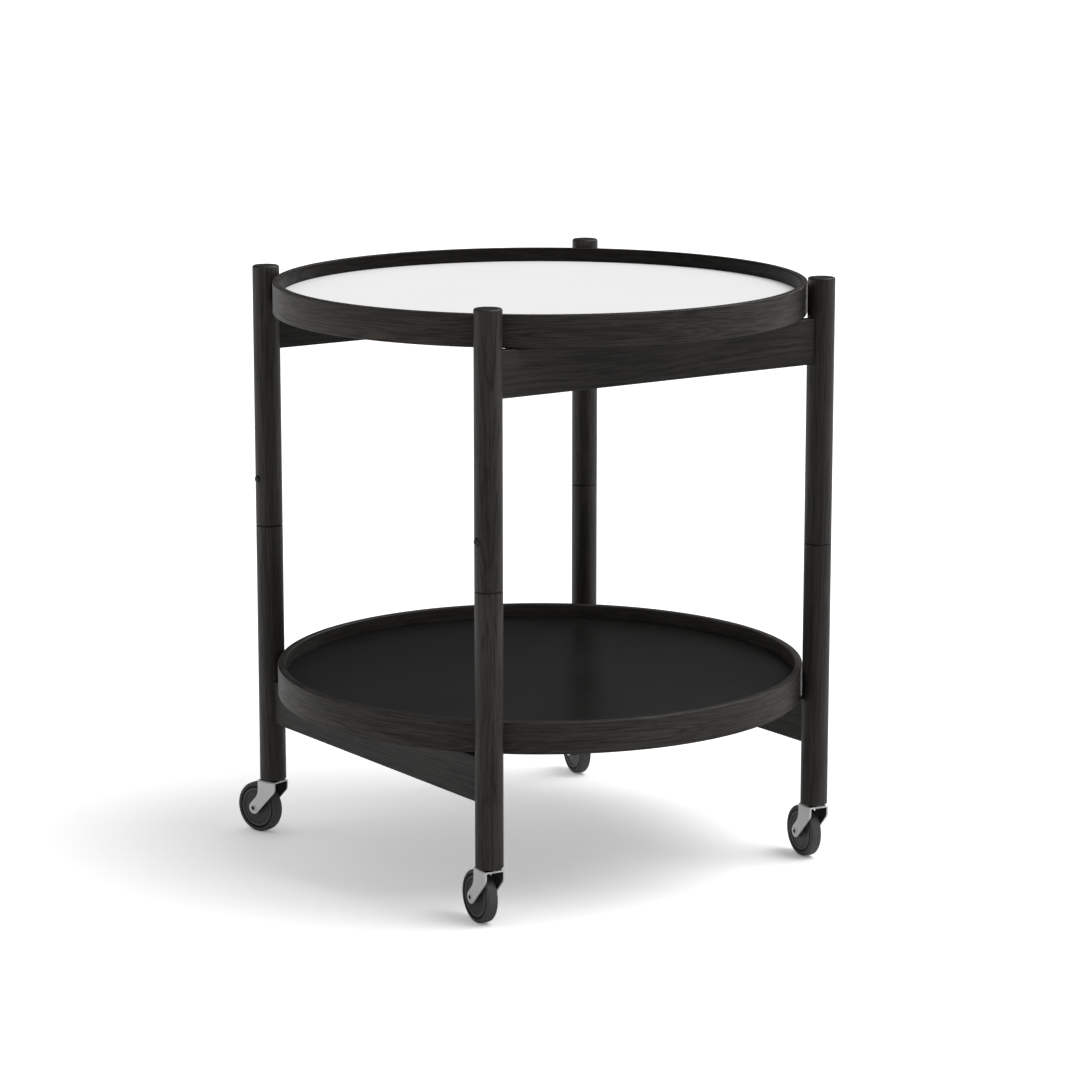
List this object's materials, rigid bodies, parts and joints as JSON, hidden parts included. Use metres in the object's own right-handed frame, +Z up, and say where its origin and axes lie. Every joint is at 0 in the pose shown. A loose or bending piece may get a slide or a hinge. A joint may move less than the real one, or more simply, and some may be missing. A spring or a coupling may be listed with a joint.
{
  "type": "folding round tray table",
  "caption": "Round table of stained wood on castors: a hinged folding frame carries a loose reversible upper and lower tray.",
  "frame": {"origin": "centre of the table at floor level, under the wheels", "axes": "+Z up, +X along the upper rails from the front leg to the right leg, +Y along the lower rails from the front leg to the left leg"},
  "size_m": [0.5, 0.5, 0.558],
  "materials": {
    "stained_wood_frame": "black stain on open grain, matt oil",
    "stained_wood_rim": "black stain on bent wood, grain along the hoop, matt oil",
    "core_board": "plain board, covered",
    "white_laminate": "satin laminate",
    "black_laminate": "satin laminate",
    "pin_steel": "turned",
    "black_nylon": "plain",
    "black_screw_steel": "black, satin",
    "zinc_plated_steel": "bright zinc plating, satin",
    "burnished_steel": "dark, burnished by wear",
    "hub_plastic": "moulded, fine texture",
    "tyre_rubber": "soft moulded tread"
  },
  "bodies": {
    "lower_left_frame": {"lower_leg_left": "stained_wood_frame", "lower_leg_front": "stained_wood_frame", "lower_left_rail": "stained_wood_frame", "pivot_pin_left": "pin_steel", "pivot_washer_left": "black_nylon", "castor_socket_left": "zinc_plated_steel", "castor_stem_left": "burnished_steel", "pivot_pin_front": "pin_steel", "pivot_washer_front": "black_nylon", "castor_socket_front": "zinc_plated_steel", "castor_stem_front": "burnished_steel"},
    "upper_front_frame": {"upper_leg_front": "stained_wood_frame", "upper_leg_right": "stained_wood_frame", "upper_front_rail": "stained_wood_frame", "lock_screws_front": "black_screw_steel"},
    "upper_back_frame": {"upper_leg_left": "stained_wood_frame", "upper_leg_back": "stained_wood_frame", "upper_back_rail": "stained_wood_frame", "lock_screws_back": "black_screw_steel"},
    "lower_right_frame": {"lower_leg_right": "stained_wood_frame", "lower_leg_back": "stained_wood_frame", "lower_right_rail": "stained_wood_frame", "pivot_pin_right": "pin_steel", "pivot_washer_right": "black_nylon", "castor_socket_right": "zinc_plated_steel", "castor_stem_right": "burnished_steel", "pivot_pin_back": "pin_steel", "pivot_washer_back": "black_nylon", "castor_socket_back": "zinc_plated_steel", "castor_stem_back": "burnished_steel"},
    "upper_tray": {"upper_tray_rim": "stained_wood_rim", "upper_tray_core": "core_board", "upper_tray_white_laminate": "white_laminate", "upper_tray_black_laminate": "black_laminate"},
    "lower_tray": {"lower_tray_rim": "stained_wood_rim", "lower_tray_core": "core_board", "lower_tray_black_laminate": "black_laminate", "lower_tray_white_laminate": "white_laminate"},
    "castor_left": {"castor_fork_left": "zinc_plated_steel", "castor_axle_left": "zinc_plated_steel"},
    "wheel_left": {"castor_hub_left": "hub_plastic", "castor_tyre_left": "tyre_rubber"},
    "castor_front": {"castor_fork_front": "zinc_plated_steel", "castor_axle_front": "zinc_plated_steel"},
    "wheel_front": {"castor_hub_front": "hub_plastic", "castor_tyre_front": "tyre_rubber"},
    "castor_right": {"castor_fork_right": "zinc_plated_steel", "castor_axle_right": "zinc_plated_steel"},
    "wheel_right": {"castor_hub_right": "hub_plastic", "castor_tyre_right": "tyre_rubber"},
    "castor_back": {"castor_fork_back": "zinc_plated_steel", "castor_axle_back": "zinc_plated_steel"},
    "wheel_back": {"castor_hub_back": "hub_plastic", "castor_tyre_back": "tyre_rubber"}
  },
  "joints": [
    {"name": "frame_fold", "type": "hinge", "parent": "lower_left_frame", "child": "upper_front_frame", "pos_m": [-0.18664, -0.18664, 0.3074], "axis": [0, 0, 1], "range_deg": [-0.19, 0.19]},
    {"name": "back_panel_fold", "type": "hinge", "parent": "lower_left_frame", "child": "upper_back_frame", "pos_m": [-0.18664, 0.18664, 0.3074], "axis": [0, 0, 1], "range_deg": [-0.19, 0.19]},
    {"name": "right_panel_fold", "type": "hinge", "parent": "upper_front_frame", "child": "lower_right_frame", "pos_m": [0.18664, -0.18664, 0.3074], "axis": [0, 0, 1], "range_deg": [-0.19, 0.19]},
    {"name": "upper_tray_lift", "type": "slide", "parent": "upper_front_frame", "child": "upper_tray", "axis": [0, 0, 1], "range_m": [0, 0.04]},
    {"name": "lower_tray_lift", "type": "slide", "parent": "lower_left_frame", "child": "lower_tray", "axis": [0, 0, 1], "range_m": [0, 0.2915]},
    {"name": "castor_swivel_left", "type": "hinge", "parent": "lower_left_frame", "child": "castor_left", "pos_m": [-0.18664, 0.18664, 0.0541], "axis": [0, 0, 1], "continuous": true},
    {"name": "wheel_roll_left", "type": "hinge", "parent": "castor_left", "child": "wheel_left", "pos_m": [-0.19173, 0.20328, 0.0246], "axis": [0.9563, 0.2924, 0], "continuous": true},
    {"name": "castor_swivel_front", "type": "hinge", "parent": "lower_left_frame", "child": "castor_front", "pos_m": [-0.18664, -0.18664, 0.0541], "axis": [0, 0, 1], "continuous": true},
    {"name": "wheel_roll_front", "type": "hinge", "parent": "castor_front", "child": "wheel_front", "pos_m": [-0.18512, -0.16931, 0.0246], "axis": [0.9962, -0.0872, 0], "continuous": true},
    {"name": "castor_swivel_right", "type": "hinge", "parent": "lower_right_frame", "child": "castor_right", "pos_m": [0.18664, -0.18664, 0.0541], "axis": [0, 0, 1], "continuous": true},
    {"name": "wheel_roll_right", "type": "hinge", "parent": "castor_right", "child": "wheel_right", "pos_m": [0.18936, -0.16946, 0.0246], "axis": [0.9877, -0.1564, 0], "continuous": true},
    {"name": "castor_swivel_back", "type": "hinge", "parent": "lower_right_frame", "child": "castor_back", "pos_m": [0.18664, 0.18664, 0.0541], "axis": [0, 0, 1], "continuous": true},
    {"name": "wheel_roll_back", "type": "hinge", "parent": "castor_back", "child": "wheel_back", "pos_m": [0.18996, 0.20372, 0.0246], "axis": [0.9816, -0.1908, 0], "continuous": true}
  ],
  "couplings": [
    {"joint": "back_panel_fold", "follows": "frame_fold", "ratio": 1},
    {"joint": "right_panel_fold", "follows": "frame_fold", "ratio": -1}
  ]
}
